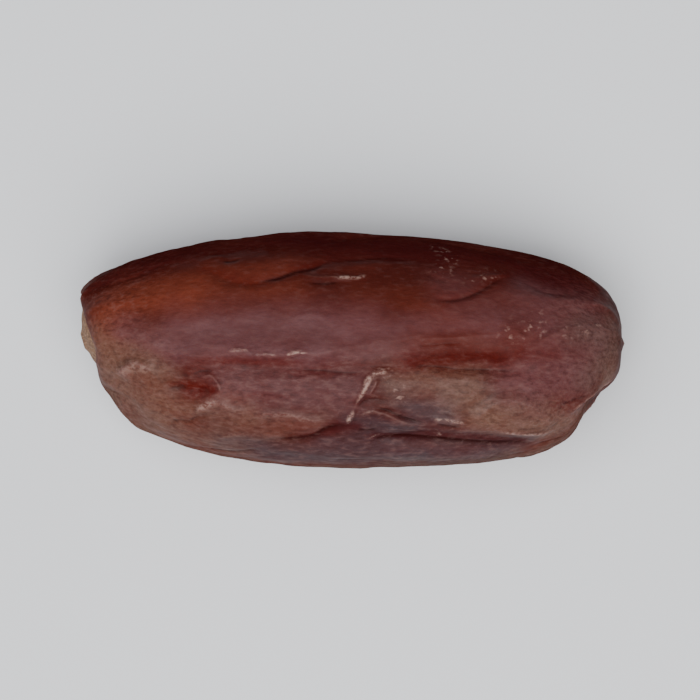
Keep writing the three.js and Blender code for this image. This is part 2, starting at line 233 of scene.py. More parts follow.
# The lights: each one's direction from the date, its distance and size in metres, its watts and its tint
Lamp = namedtuple("Lamp", "name direction distance size watts tint")
LAMPS = [
    Lamp("window", (0.15, -0.75, 1.2), 0.9, 0.8, 8.7, (1.0, 0.98, 0.95)),
    Lamp("overhead", (-0.3, -0.2, 1.0), 1.2, 1.2, 14.6, (0.99, 0.99, 1.0)),
]
ROOM_TINT = (1.0, 0.97, 0.94, 1)
ROOM_BRIGHTNESS = 0.15

# The camera: its angle over the floor in degrees, its distance in metres, the width of its sensor, and how
# much of the picture's width the date fills
CAMERA_ELEVATION = 90 - CROWN_ROLL
CAMERA_DISTANCE = 0.42
SENSOR_WIDTH = 36
DATE_SHARE_OF_WIDTH = 0.78

# Places of the colours among the mix node's inputs and outputs, whose names are shared with its other kinds
MIX_FIRST_COLOUR = 6
MIX_SECOND_COLOUR = 7
MIXED_COLOUR = 2

# A fold of the skin: its height (below 0 it is a furrow), its width on the upper and on the lower side, how
# pointed it is (1 is a sharp crease, 2 a round roll), its shade (1 is pale, as dry skin or a painted
# highlight on a crest, -1 is a dark line of painted shade in a crease), and its path as places of x and roll
Fold = namedtuple("Fold", "height upper lower power shade path")

FOLDS = [
    # the full corner of the stem end, the flat one of the tip and the flank between them
    Fold(0.6, 1.4, 1.4, 2, 0, [(-22.5, 50), (-21.8, 70), (-20.9, 88), (-20.3, 106)]),
    Fold(0.4, 2, 2, 2, 0, [(14.9, 90), (18.4, 86), (21.4, 80)]),
    Fold(-1.6, 2.4, 2.4, 2, 0, [(23.3, 50), (22.6, 76), (21.9, 108)]),
    Fold(-0.2, 3.4, 3.4, 2, 0, [(0.5, 94), (6, 93), (11.5, 94)]),
    # short dry crests on the low flank, paled as a painted highlight along its rim, and the fullness of its
    # corner
    Fold(0.2, 0.9, 0.9, 2, 0, [(-22.9, 66), (-22.3, 80), (-21.8, 94)]),
    Fold(0.07, 0.5, 0.8, 1.6, 0.3, [(-23.4, 60), (-22.3, 74), (-20.4, 80), (-18.6, 79)]),
    Fold(0.07, 0.4, 0.5, 1.6, 0.3, [(-16, 84), (-13.5, 80), (-11, 83)]),
    Fold(0.06, 0.35, 0.5, 1.6, 0.25, [(-7.6, 79), (-5, 82), (-2.6, 80)]),
    Fold(0.07, 0.5, 0.8, 1.6, 0.35, [(23.9, 42), (23.2, 56), (22.4, 70), (20.9, 77)]),
    Fold(0.07, 0.4, 0.5, 1.6, 0.3, [(19.2, 82), (16.8, 79), (14.6, 82)]),
    # the smooth upper flank: a long lobe with a furrow under it, small ribs, and a deep dent near the tip,
    # with painted shade in its creases
    Fold(0.24, 1.7, 1.4, 2, 0, [(-12.7, -47), (-9.8, -47), (-6.9, -49), (-4.2, -53)]),
    Fold(-0.17, 0.7, 0.5, 1.5, -0.15, [(-13.6, -46), (-11, -36), (-8.6, -35), (-5.3, -41), (-1.8, -49)]),
    Fold(-0.13, 0.2, 0.28, 1.2, -0.65, [(-8.6, -36), (-6.9, -38), (-5.3, -42), (-3.7, -44), (-2.5, -48)]),
    Fold(-0.12, 0.22, 0.25, 1.3, -0.8, [(-12, -50), (-11.2, -49), (-10.4, -50)]),
    Fold(0.12, 0.3, 0.3, 1.5, 0.25, [(-13.8, -52), (-12.8, -54), (-11.9, -53)]),
    Fold(-0.09, 0.3, 0.4, 1.3, -0.5, [(-2.5, -48), (0.4, -50), (2.8, -52), (5.2, -52)]),
    Fold(0.1, 0.5, 0.9, 1.6, 0, [(-2.5, -42), (1.6, -47), (6, -47)]),
    Fold(0.26, 1, 0.8, 2, 0, [(-20, -72), (-17.5, -80), (-15.5, -66)]),
    Fold(-0.14, 0.4, 0.5, 1.4, -0.2, [(-22.8, -60), (-20.8, -53), (-19.1, -53), (-17.6, -57), (-14.9, -54)]),
    Fold(0.12, 0.28, 0.28, 1.5, 0.3, [(-5, -40), (-3.7, -38), (-2.1, -38), (-0.8, -38)]),
    Fold(0.12, 0.24, 0.24, 1.5, 0.6, [(-1.6, -37), (-0.8, -38), (0.3, -38), (1.1, -40)]),
    Fold(-0.11, 0.2, 0.2, 1.3, -0.6, [(-4.2, -35), (-2.8, -34.6), (-1.5, -35.6)]),
    Fold(-0.09, 0.4, 0.4, 1.5, -0.3, [(6.4, -44), (7.3, -40), (8.5, -38)]),
    Fold(-0.17, 0.3, 0.45, 1.4, -0.6,
         [(6.8, -29), (8.3, -28), (9.8, -30), (11.1, -34), (12.3, -40), (13.7, -47)]),
    Fold(0.11, 0.3, 0.3, 1.5, 0.25, [(10.3, -41), (11.5, -44), (12.7, -46), (13.7, -49)]),
    Fold(-0.36, 2.2, 2, 2, 0, [(13.7, -55), (16.6, -50), (19.8, -52)]),
    Fold(-0.12, 0.4, 0.5, 1.5, -0.3, [(15.7, -46), (17.3, -41), (19.2, -42), (21, -52)]),
    # the flat band on top, between a soft shoulder and a crest, with pale dashes of painted highlight on the
    # crest
    Fold(0.18, 2, 1.5, 2, 0, [(-21.2, -15), (-14.3, -16), (-6.2, -18), (2, -14), (8.5, -16)]),
    Fold(0.3, 1.6, 0.7, 1.6, 0,
         [(-20.8, -12), (-19, -3), (-16.9, 3), (-14.3, 4), (-9, 2), (-4, 1), (3.9, -7)]),
    Fold(0.1, 0.22, 0.2, 1.5, 0.55, [(-11.4, 1), (-10.4, 0.2), (-9.4, 0.6)]),
    Fold(0.08, 0.22, 0.2, 1.5, 0.45, [(-9.1, 2.4), (-8, 2), (-6.9, 2.2)]),
    Fold(0.12, 0.26, 0.2, 1.4, 0.7, [(-6.2, 2.2), (-5.6, 1), (-5, 0.6), (-4.2, 0.8)]),
    Fold(-0.08, 0.14, 0.2, 1.3, -0.5, [(-6.2, 4), (-5.2, 2.2), (-3.8, 2)]),
    Fold(0.08, 0.3, 0.25, 1.5, 0.15, [(-5.3, -17), (-3.7, -18), (-2.5, -16)]),
    # the main furrow, the valley that opens out of it and the one that crosses to the tip, with painted shade
    # in their crisp lines
    Fold(-0.26, 0.8, 1.1, 1.6, 0,
         [(-15.1, 12), (-11.9, 8), (-3.3, 8), (2, 6), (8.1, 6), (14.1, 8), (18.2, 15)]),
    Fold(-0.13, 0.2, 0.25, 1.2, -0.4, [(-5, 9), (-2.9, 9), (-0.9, 9.6), (0.9, 9)]),
    Fold(-0.12, 0.2, 0.25, 1.2, -0.35, [(5.6, 5), (7.7, 5.6), (9.6, 7), (12.1, 7.2), (15.1, 9)]),
    Fold(-0.2, 0.8, 1.6, 2, 0, [(5, 0), (8.1, 0), (11.7, -1), (14.9, 0)]),
    Fold(-0.1, 0.18, 0.22, 1.3, -0.3, [(6, -5), (7.7, -6), (9.4, -6.6)]),
    Fold(0.09, 0.3, 0.3, 1.4, 0.1, [(6, -8), (8.5, -9), (11.3, -11), (14.1, -13)]),
    Fold(-0.18, 0.5, 0.7, 1.6, -0.2, [(14.7, 1), (15.5, -4), (16.6, -10), (17.8, -15), (19, -20)]),
    Fold(0.12, 0.35, 0.35, 1.4, 0.2, [(14.1, -15), (15.4, -10), (16.4, -14), (17.1, -22)]),
    Fold(0.15, 0.35, 0.45, 1.4, 0.2, [(16.2, -5), (17.3, -10), (18.6, -15), (20.2, -18), (21.8, -25)]),
    # the lower flank near the stem: a knob, a red hollow and broken crests, with painted highlights on the
    # knob and crests and painted shade in the creases
    Fold(0.42, 0.4, 1.2, 1.6, 0.4, [(-22, 26), (-21.2, 19), (-20.2, 13), (-19.1, 13), (-18.3, 17)]),
    Fold(0.12, 0.4, 0.8, 1.6, 0.1, [(-20, 35), (-18.6, 30), (-17.1, 31), (-14.5, 36)]),
    Fold(-0.32, 0.6, 0.55, 1.8, 0, [(-16.9, 24), (-15.5, 23.5), (-14, 23), (-13, 23)]),
    Fold(-0.1, 0.2, 0.25, 1.3, -0.35, [(-14.7, 14), (-13.6, 12), (-12.8, 12)]),
    Fold(0.17, 0.22, 0.32, 1.4, 0.3, [(-13.9, 16), (-13.1, 14), (-12.5, 17), (-12.2, 20), (-12.1, 24)]),
    Fold(0.26, 0.38, 0.6, 1.6, 0.5, [(-14.3, 36), (-13.8, 32), (-13.1, 29), (-12.5, 27.5)]),
    Fold(0.14, 0.26, 0.45, 1.5, 0.35, [(-12.5, 29), (-11.6, 30), (-10.8, 32), (-9.8, 31)]),
    Fold(-0.17, 0.28, 0.4, 1.3, -0.5, [(-17.1, 50), (-15.9, 46), (-15.1, 45), (-14.5, 41), (-13.8, 38)]),
    Fold(0.19, 0.26, 0.7, 1.5, 0.35, [(-9.4, 35), (-8, 32), (-6.5, 31), (-4.8, 33), (-2.9, 35)]),
    Fold(0.15, 0.28, 0.5, 1.5, 0.3, [(-12.5, 54), (-11.5, 50), (-10.5, 47), (-9.2, 47)]),
    Fold(0.12, 0.25, 0.4, 1.5, 0.25, [(-8.4, 49), (-7.6, 46), (-6.5, 45)]),
    Fold(-0.15, 0.25, 0.3, 1.3, -0.6, [(-14.5, 74), (-13.1, 71), (-11.6, 69), (-10.2, 65), (-8.8, 60)]),
    Fold(0.1, 0.35, 0.4, 1.5, 0.1, [(-9.2, 16), (-7.4, 14), (-5.8, 14), (-3.7, 12)]),
    Fold(0.09, 0.4, 0.4, 1.5, 0.1, [(-10.6, 24), (-8.2, 20), (-5.3, 22)]),
    # the middle of the lower flank: a dry flake, a crease at its foot, a puckered split and its lips, with
    # painted shade in the crease and the split and painted highlights on the lips
    Fold(0.22, 0.3, 0.34, 1.8, 0.65, [(3, 8.6), (2.1, 9), (1.3, 11.6), (0.9, 16)]),
    Fold(0.2, 0.24, 0.27, 1.6, 0.65, [(1.3, 12), (0.8, 18), (0.3, 23), (-0.2, 29), (-0.6, 33)]),
    Fold(0.16, 0.2, 0.2, 1.5, 0.3, [(2, 12), (1.7, 16), (1.2, 20)]),
    Fold(0.14, 0.24, 0.26, 1.6, 0.6, [(-0.3, 30.5), (-0.5, 33), (-0.8, 36)]),
    Fold(-0.14, 0.28, 0.3, 1.4, -0.6, [(-0.2, 29), (0.1, 26), (0.8, 23), (1.8, 22), (3, 23)]),
    Fold(0.2, 0.28, 0.5, 1.5, 0.4,
         [(0.2, 32), (0.9, 29), (1.9, 28), (3.1, 30), (4.1, 33), (5, 35), (6.4, 35.5)]),
    Fold(-0.22, 0.18, 0.24, 1.2, -0.9, [(2, 26.5), (3.1, 28), (3.9, 30.5), (4.8, 32.5), (6.2, 34.5)]),
    Fold(0.14, 0.24, 0.3, 1.5, 0.6, [(6.8, 32), (7.9, 33), (9.1, 34), (10.1, 36)]),
    Fold(-0.13, 0.25, 0.3, 1.4, -0.7, [(7.4, 35.5), (8.7, 37.5), (9.6, 38)]),
    Fold(-0.2, 1.5, 1.2, 2, 0, [(4.2, 22), (6, 26), (7.7, 28)]),
    Fold(0.12, 0.5, 0.8, 1.6, 0.1, [(8.3, 34), (8.7, 28), (9.2, 24), (10.3, 21)]),
    # the low fold along the flank, its deep furrow and the roll of skin below, with painted shade along the
    # furrow
    Fold(-0.2, 0.35, 0.6, 1.4, -0.8,
         [(-7.4, 49), (-5.3, 47), (-3.7, 44), (-2.7, 39), (-1.7, 37), (-0.2, 37)]),
    Fold(0.16, 0.7, 0.5, 1.6, 0, [(-6.5, 42), (-4.2, 39), (-2.7, 36), (-0.9, 34)]),
    Fold(-0.14, 0.22, 0.28, 1.3, -0.6, [(0.2, 39), (1.1, 40), (2.1, 38)]),
    Fold(-0.4, 0.9, 1.2, 1.8, 0, [(0.4, 44), (2.9, 44), (6, 44), (9.6, 46), (12.9, 50), (16.6, 63)]),
    Fold(-0.2, 0.22, 0.45, 1.2, -1, [(1.4, 47), (3.6, 44), (6.8, 46), (10.5, 50), (14.4, 57), (16.2, 62)]),
    Fold(0.11, 0.2, 0.2, 1.5, 0.5, [(1.1, 46), (1.7, 44), (2.4, 42)]),
    Fold(0.28, 1.5, 1.4, 2, 0, [(-2.9, 57), (0.4, 55), (3.9, 56), (8.1, 58), (12.5, 64)]),
    Fold(0.08, 0.28, 0.4, 1.5, 0.1, [(-1.8, 47), (-2.4, 53), (-2.7, 64)]),
    Fold(-0.14, 0.2, 0.25, 1.3, -0.6, [(-1.7, 64), (-0.6, 64), (0.9, 63)]),
    # the plump knuckle near the tip, its rims and the pit above it, with painted highlights on the rims
    Fold(0.42, 2, 2.2, 2, 0, [(12.3, 32), (14.1, 32), (16.2, 38), (18.4, 46)]),
    Fold(0.17, 0.4, 0.5, 1.6, 0.25, [(10.6, 35), (11.5, 30), (12.5, 25), (13.9, 23), (15.4, 26), (16.9, 34)]),
    Fold(-0.1, 0.5, 0.4, 1.6, -0.2, [(10.2, 29), (11.3, 24), (12.6, 20), (14.2, 18), (15.9, 21)]),
    Fold(0.17, 0.32, 0.28, 1.5, 0.5, [(12.7, 42), (14.4, 46), (15.9, 49), (18, 54)]),
    Fold(-0.18, 0.32, 0.45, 1.4, -0.3, [(18.4, 34), (19.6, 34), (20.4, 35), (21.2, 37)]),
    Fold(0.17, 0.28, 0.4, 1.5, 0.5, [(19.6, 43), (20.6, 41), (21.4, 40), (22.2, 41)]),
    Fold(-0.13, 0.2, 0.25, 1.3, -0.6, [(16.7, 66), (18, 68), (19.2, 72)]),
]

# Colour patches of the skin. Each has its strength, its width in mm and its path as places of x and roll.
Patch = namedtuple("Patch", "strength width path")

PATCHES = {
    "orange": [
        Patch(1, 2.2, [(-22.2, -15), (-20.8, -30), (-18, -33), (-15.1, -30)]),
        Patch(0.5, 2, [(-22.4, -8), (-22, -22), (-20, -40)]),
        Patch(0.45, 1.8, [(-15.1, -30), (-10.6, -29), (-6, -28)]),
        Patch(0.3, 1.2, [(-13.1, -44), (-9.8, -42), (-6.5, -43)]),
        Patch(0.25, 1.6, [(0.4, -29), (4, -28), (8, -26)]),
        Patch(0.25, 2, [(10.1, -27), (14.1, -31), (18.6, -31)]),
    ],
    # a grey-purple bloom with a painted sheen on the flat band, the lower side and the tip
    "bloom": [
        Patch(0.9, 1.3, [(-20.8, -10), (-18.5, -3), (-15.5, 1), (-11, 0), (-6, 0), (-3, 0)]),
        Patch(0.9, 1.9, [(-16, -12), (-10, -13), (-4, -14), (1, -12)]),
        Patch(0.7, 1.3, [(-0.5, -11), (3.9, -13), (8.1, -16), (12.5, -16)]),
        Patch(0.6, 1.2, [(-5, 4), (-2.1, 1), (2, 0), (5, -1)]),
        Patch(0.8, 0.6, [(-4.7, -16), (-2.9, -15), (0.2, -12)]),
        Patch(0.5, 2, [(-11.9, 15), (-8.2, 16), (-4.2, 17), (0, 16)]),
        Patch(0.4, 2, [(-12, 26), (-6, 24), (-1, 24)]),
        Patch(0.5, 1.6, [(14.1, 12), (17.1, 14), (19.4, 18)]),
        Patch(0.9, 2.4, [(20.5, -30), (22, -12), (21.6, 4), (20.2, 16)]),
        Patch(0.7, 2.6, [(17, -30), (18, -12), (17, 2), (16, 16)]),
        Patch(0.5, 2.4, [(9, -34), (12, -24), (16, -26)]),
        Patch(0.75, 1.3, [(3.9, 56), (8, 58), (13, 64)]),
        Patch(0.6, 2.4, [(15, 14), (18, 22), (20, 26)]),
        Patch(0.9, 1.7, [(16, -44), (19, -42), (21, -46)]),
    ],
    "tan": [
        Patch(1, 2, [(-22.8, 4), (-22, 14), (-20, 10), (-18.3, 14)]),
        Patch(0.9, 2.2, [(-22.4, 30), (-20.6, 43), (-18.5, 50)]),
        Patch(0.6, 1.8, [(-18.2, 56), (-14.9, 60), (-11, 62)]),
        Patch(0.7, 1.4, [(-18, 32), (-15.5, 36), (-12.5, 32), (-9.8, 34)]),
        Patch(0.45, 1.4, [(-12.2, 47), (-9, 47), (-6.2, 46)]),
        Patch(0.35, 1, [(-9.2, 36), (-5.8, 32), (-3.3, 34)]),
        Patch(0.65, 1.9, [(4.2, 12), (6.8, 13), (10.1, 15)]),
        Patch(0.6, 1.4, [(8.8, 24), (10, 22), (11, 26)]),
        Patch(1, 2.1, [(11.7, 33), (14.1, 34), (16.9, 40), (18.6, 48)]),
        Patch(0.5, 1.4, [(14, 38), (17, 44), (20, 52)]),
        Patch(0.7, 1.4, [(23.4, -19), (23.4, 8), (22.8, 18)]),
        Patch(1, 1.5, [(23.4, 34), (23, 48), (22.6, 64), (22.1, 82), (20.5, 92)]),
        Patch(0.6, 1, [(4, 62), (9, 64), (14, 70)]),
        # painted light: the shaded lower facet of the stem corner made paler
        Patch(0.9, 1.4, [(-23.4, 54), (-22.6, 70), (-21, 82), (-18, 84)]),
        Patch(0.6, 3.2, [(-19, 92), (-12, 100), (-5, 94)]),
        Patch(0.5, 3.4, [(2, 104), (9, 96), (17, 100)]),
    ],
    # painted grey sheen along the lower rim and at the tip
    "ash": [
        Patch(0.7, 1.1, [(-23, 66), (-21.6, 80), (-18, 86), (-11, 86), (-3, 84)]),
        Patch(0.85, 1.3, [(-3, 84), (6, 80), (13, 82), (18, 79), (21.4, 64)]),
        Patch(0.6, 2, [(20.8, -16), (22.6, -4), (22.8, 10), (21.4, 22)]),
        Patch(0.7, 1.4, [(3, 70), (8, 71), (13, 74)]),
    ],
    # painted purple-grey shade along the furrows, under the lip and on the low roll
    "plum": [
        Patch(0.9, 1.8, [(-2.2, 50), (0, 51), (3, 53), (6, 56)]),
        Patch(0.6, 1.2, [(6, 57), (10, 58), (14, 60)]),
        Patch(0.9, 0.9, [(-0.5, 34), (1.5, 34), (3.5, 36), (5.2, 38)]),
        Patch(0.7, 1, [(5, 30), (8, 31)]),
        Patch(0.7, 1, [(0.5, 42), (4, 42), (8, 44), (12, 48), (15.5, 56)]),
        Patch(0.9, 2.2, [(-8, 62), (-3, 65), (3, 67), (9, 68), (13, 72)]),
        Patch(0.5, 1.2, [(-12, 58), (-9.5, 52)]),
        Patch(0.7, 1.4, [(4.5, 24), (6, 28), (8, 29)]),
    ],
    "red": [
        Patch(0.5, 0.4, [(-16.8, 23), (-15.5, 23)]),
        Patch(1, 0.6, [(-15.4, 23.5), (-14, 23), (-12.9, 23)]),
        Patch(0.35, 1.6, [(5, -1), (10, -2), (14.5, -2)]),
        Patch(0.55, 0.8, [(4, 3), (8, 2), (12, 1.5)]),
        Patch(0.4, 0.8, [(12, 1.5), (15, 1.5), (18, 2)]),
        Patch(0.4, 0.6, [(-12, 7), (-9, 7), (-5, 6)]),
        Patch(0.6, 0.7, [(18.2, 34), (20.4, 34.5)]),
        Patch(0.4, 0.6, [(-13.6, -44), (-11, -37), (-7.2, -38), (-3, -46)]),
        Patch(0.4, 0.7, [(8.3, -28), (11.1, -34), (13.7, -47)]),
        Patch(0.35, 0.7, [(-15, 12), (-11, 8), (-3, 8), (4, 7)]),
    ],
    # painted shade on the upper flank and in furrows and hollows, partly darker skin
    "dark": [
        Patch(0.6, 1.5, [(-22.4, -64), (-19, -60), (-15.1, -64), (-8.2, -66)]),
        Patch(0.9, 2, [(-6.2, -66), (-2.1, -64), (2.9, -64), (8, -66)]),
        Patch(0.9, 2, [(8, -62), (14.1, -60), (17.3, -56), (20.2, -56)]),
        Patch(0.6, 2.6, [(-20, -80), (-10, -84), (0, -86), (10, -84), (19, -78)]),
        Patch(0.5, 0.9, [(-1.8, -52), (0.4, -54), (6, -55)]),
        Patch(0.7, 0.6, [(-6, 47), (-3.7, 44), (-2.4, 40)]),
        Patch(0.7, 0.5, [(1.4, 45), (6, 44), (11.1, 48), (15.1, 57)]),
        Patch(0.6, 0.35, [(-13.9, 23.5), (-12.8, 23)]),
        Patch(0.45, 0.7, [(5, 2.5), (9, 2), (13, 1.5)]),
        Patch(0.9, 0.5, [(-2.6, 41), (-1.4, 37.5), (0.2, 37.5)]),
    ],
    "speckled": [
        Patch(1, 0.8, [(7.7, -64), (8.5, -58), (8.3, -48), (7.9, -44)]),
        Patch(0.8, 0.6, [(10.5, -41), (11.7, -45), (12.3, -47)]),
        Patch(1, 0.9, [(14.1, -12), (15.6, -13), (16.4, -20)]),
        Patch(0.8, 0.6, [(19.2, -15), (20.2, -15), (21.8, -21)]),
        Patch(1, 0.7, [(2.8, 10), (3.6, 14), (4.2, 19)]),
        Patch(0.6, 0.7, [(8, 44), (9, 40)]),
    ],
}

# A pattern of a finish: how often it changes in a millimetre along each axis, and its detail, roughness and
# distortion
Pattern = namedtuple("Pattern", "per_mm detail roughness distortion", defaults=(0.5, 0))

# The patterns of the skin, and the depth of the relief that three of them give it
SKIN_PATTERNS = {
    "cloud": Pattern((0.09, 0.15, 0.15), 4, 0.55, 0.6),
    "mottle": Pattern((0.35, 0.7, 0.7), 5, 0.6, 0.4),
    "crepe": Pattern((1.2, 2.6, 2.6), 3, 0.55),
    "grain": Pattern((2.2, 3, 3), 3, 0.6),
    "dust": Pattern((1.7, 2.2, 2.2), 2),
}
GRAIN_RELIEF = 0.03
CREPE_RELIEF = 0.13
MOTTLE_RELIEF = 0.1

# A tint: how strongly it is laid on, its colour in display values from 0 to 255, and the two levels between
# which it comes in, of whatever it follows
Tint = namedtuple("Tint", "strength shown low high", defaults=(None, None))

# The skin's deepest colour, and the tints that lie over it, among them painted shade, sheen and highlights
DEEP_SKIN = (63, 22, 18)
WARM = Tint(1, (81, 33, 26), 0.38, 0.66)
ORANGE = Tint(0.85, (107, 48, 34))
TAN = Tint(0.7, (100, 72, 60))
# grey-purple bloom with a painted sheen
BLOOM_AND_SHEEN = Tint(0.65, (98, 63, 66))
# painted purple-grey shade
PLUM_SHADE = Tint(0.85, (62, 48, 52))
# painted grey sheen
GREY_SHEEN = Tint(0.75, (89, 71, 66))
RED = Tint(0.9, (78, 16, 9))
# painted shade, partly darker skin
DARK_SKIN_AND_SHADE = Tint(0.85, (62, 19, 20))
# painted shade in the broad hollows
HOLLOW_SHADE = Tint(0.65, (50, 17, 14), 0.03, 0.3)
# paler on the rises: painted highlight and bloom
HILL_HIGHLIGHT_AND_BLOOM = Tint(0.45, (92, 55, 50), 0, 0.22)
# painted shade in the fine creases
CREASE_SHADE = Tint(0.6, (38, 8, 7), 0.01, 0.07)
# painted highlight on the fine crests
CREST_HIGHLIGHT = Tint(0.4, (126, 92, 86), 0.02, 0.1)
# dark lines of painted shade along the creases of the folds
SHADE_LINE = Tint(0.9, (38, 10, 10), 0.1, 1)
# pale lines along the folds: dry skin, and painted highlight on crests
DRY_AND_HIGHLIGHT_LINE = Tint(1, (147, 119, 111), 0.15, 0.75)
# painted highlight on the tops of the crepe wrinkles
CREPE_HIGHLIGHT = Tint(0.27, (114, 84, 80), 0.48, 0.72)
# painted shade in the hollows of the crepe wrinkles
CREPE_SHADE = Tint(0.42, (46, 18, 18), 0.52, 0.28)
DRY_GRAIN = Tint(0.13, (146, 118, 106), 0.44, 0.66)
SPECK = Tint(0.7, (148, 118, 110), 0.54, 0.74)

# How the tints vary: less where the skin is smooth or shade is painted, with its mottling and clouds, and in
# the pale lines of dry skin and painted highlight with gaps where the grain is low
CALM_WHERE_SMOOTH = 0.6
UNLIT_WHERE_DARK = 0.8
MOTTLED_STRENGTHS = (0.55, 1.45)
HILL_CLOUDINESS = 0.3
PALE_LINE_GAPS = (0.4, 0.6)
PALE_LINE_LEAST = 0.15

# How rough the skin is and how glossy, how its patches and patterns change that, and the light inside it
SKIN_ROUGHNESS = 0.46
ROUGHNESS_CHANGES = {"uneven": 0.2, "dark": 0.15, "specks": -0.1}
SKIN_GLOSS = 0.24
GLOSS_CHANGES = {"uneven": 0.5, "tan": 0.15, "dark": -0.65, "ash": -0.8}
GLOSS_ROUGHNESS = 0.32
GLOSS_IOR = 1.33
GLOW = 0.1
GLOW_DEPTH = 1.4
GLOW_TINT = (1.0, 0.3, 0.15)

# The dry fibres of the calyx
CALYX_ROUGHNESS = 0.8
CALYX_FIBRE = Pattern((1.2, 4.0, 4.0), 5, 0.65)
CALYX_BROWN = (98, 68, 50)
CALYX_STRAW = Tint(1, (148, 113, 86), 0.35, 0.7)
FIBRE_RELIEF = 0.12


def draws_from(seed):
    """Repeatable draws from 0 to 1."""
    multiplier, modulus = 16807, 2147483647
    state = seed
    while True:
        state = (state * multiplier) % modulus
        yield state / modulus


def smoothstep(value, low, high):
    share = np.clip((value - low) / (high - low), 0, 1)
    return share * share * (3 - 2 * share)


def bell(distance, width):
    return np.exp(-((distance / width) ** 2))


def mix(first, second, share):
    return first + (second - first) * share


def axis_offset(share):
    lift = np.where(share < 0, STEM_LIFT, TIP_LIFT)
    return AXIS_LEAN * share + lift * share**4


def girth(share):
    return np.maximum(0, 1 - np.abs(share) ** PLAN_POWER) ** (1 / PLAN_POWER)


def body_points(share, roll):
    """Points of the plump body without its folds, for shares of the half length and rolls in radians."""
    sine, cosine = np.sin(roll), np.cos(roll)
    fullness = (np.abs(sine) ** SECTION_POWER + np.abs(cosine) ** SECTION_POWER) ** (-1 / SECTION_POWER)
    across = -FRUIT_WIDTH / 2 * girth(share) * sine * fullness
    up = FRUIT_THICKNESS / 2 * girth(share) * cosine * fullness
    slant = STEM_SLANT * (1 - smoothstep(share, -1, SLANT_ENDS_AT))
    return np.stack([HALF_LENGTH * share - slant * across, axis_offset(share) + across, up], axis=-1)


def body_normals(share, roll):
    along = np.sign(share) * np.abs(share) ** (PLAN_POWER - 1) / HALF_LENGTH
    out = girth(share) ** (PLAN_POWER - 1)
    across = -out * np.sin(roll) / (FRUIT_WIDTH / 2)
    up = out * np.cos(roll) / (FRUIT_THICKNESS / 2)
    normals = np.stack([along, across, up], axis=-1)
    return normals / np.linalg.norm(normals, axis=-1, keepdims=True)


def place_on_body(x, roll_degrees):
    return body_points(np.array(x, float) / HALF_LENGTH, np.radians(CROWN_ROLL + roll_degrees))


def smooth_line(knots):
    """A smooth line through the knots, with about one point every step."""
    padded = np.vstack([2 * knots[0] - knots[1], knots, 2 * knots[-1] - knots[-2]])
    line = []
    for before, start, end, after in zip(padded, padded[1:], padded[2:], padded[3:]):
        count = max(2, math.ceil(np.linalg.norm(end - start) / PATH_STEP))
        share = np.linspace(0, 1, count, endpoint=False)[:, None]
        bend = (2 * before - 5 * start + 4 * end - after) * share**2
        twist = (3 * start - before - 3 * end + after) * share**3
        line.append(0.5 * (2 * start + (end - before) * share + bend + twist))
    return np.vstack(line + [knots[-1:]])


def nearest_on(line, points, normals):
    """For each point its distance from the line, above 0 on the lower side, and how far along it is."""
    best = np.full(len(points), np.inf)
    side = np.ones(len(points))
    along = np.zeros(len(points))
    for i, (start, end) in enumerate(zip(line, line[1:])):
        run = end - start
        share = np.clip((points - start) @ run / (run @ run), 0, 1)
        offset = points - start - share[:, None] * run
        distance = np.linalg.norm(offset, axis=1)
        closer = distance < best
        best = np.where(closer, distance, best)
        lean = np.einsum("ij,ij->i", np.cross(normals, run), offset)
        side = np.where(closer, np.where(lean > 0, -1.0, 1.0), side)
        along = np.where(closer, (i + share) / (len(line) - 1), along)
    return best * side, along


def distance_to(line, points):
    return np.abs(nearest_on(line, points, np.zeros((1, 3)))[0])


def path_on_body(path):
    return smooth_line(np.array([place_on_body(x, roll) for x, roll in path]))


def within(reach, line, points):
    """Which points lie in the box round a line that is wider by the reach on all sides."""
    return np.all((points > line.min(axis=0) - reach) & (points < line.max(axis=0) + reach), axis=1)


def fold_cover(fold, points, normals):
    """How fully one fold shows at each point, from 0 to 1, fading out at both ends of its path."""
    line = path_on_body(fold.path)
    widths_out = SHARP_FOLD_REACH if fold.power < SHARP_FOLD_POWER else ROUND_FOLD_REACH
    near = within(widths_out * max(fold.upper, fold.lower), line, points)
    cover = np.zeros(len(points))
    distance, along = nearest_on(line, points[near], normals[near])
    width = np.where(distance > 0, fold.lower, fold.upper)
    fade = np.sin(np.minimum(1, np.minimum(along, 1 - along) / FOLD_FADE) * math.pi / 2)
    cover[near] = mix(FOLD_END_HEIGHT, 1, fade) * np.exp(-(np.abs(distance / width) ** fold.power))
    return cover


def flank_wrinkles():
    """Lengthwise wrinkles at drawn places, by turns a crest and a furrow."""
    draw = draws_from(WRINKLE_SEED)

    def pick(limits):
        return mix(*limits, next(draw))

    wrinkles = []
    for i in range(WRINKLE_COUNT):
        start, length = pick(WRINKLE_STARTS), pick(WRINKLE_LENGTHS)
        roll = WRINKLE_FIRST_ROLL + WRINKLE_ROLL_SPAN * (i + next(draw)) / WRINKLE_COUNT
        path = []
        for knot in range(WRINKLE_KNOTS):
            x = min(WRINKLES_END_AT, start + length * knot / (WRINKLE_KNOTS - 1))
            path.append((x, roll + WRINKLE_WANDER * (next(draw) - 0.5)))
        side = -1 if i % 2 else 1
        height, width = side * pick(WRINKLE_HEIGHTS), pick(WRINKLE_WIDTHS)
        wrinkles.append(Fold(height, WRINKLE_UPPER_WIDTH * width, width, WRINKLE_POWER, 0, path))
    return wrinkles


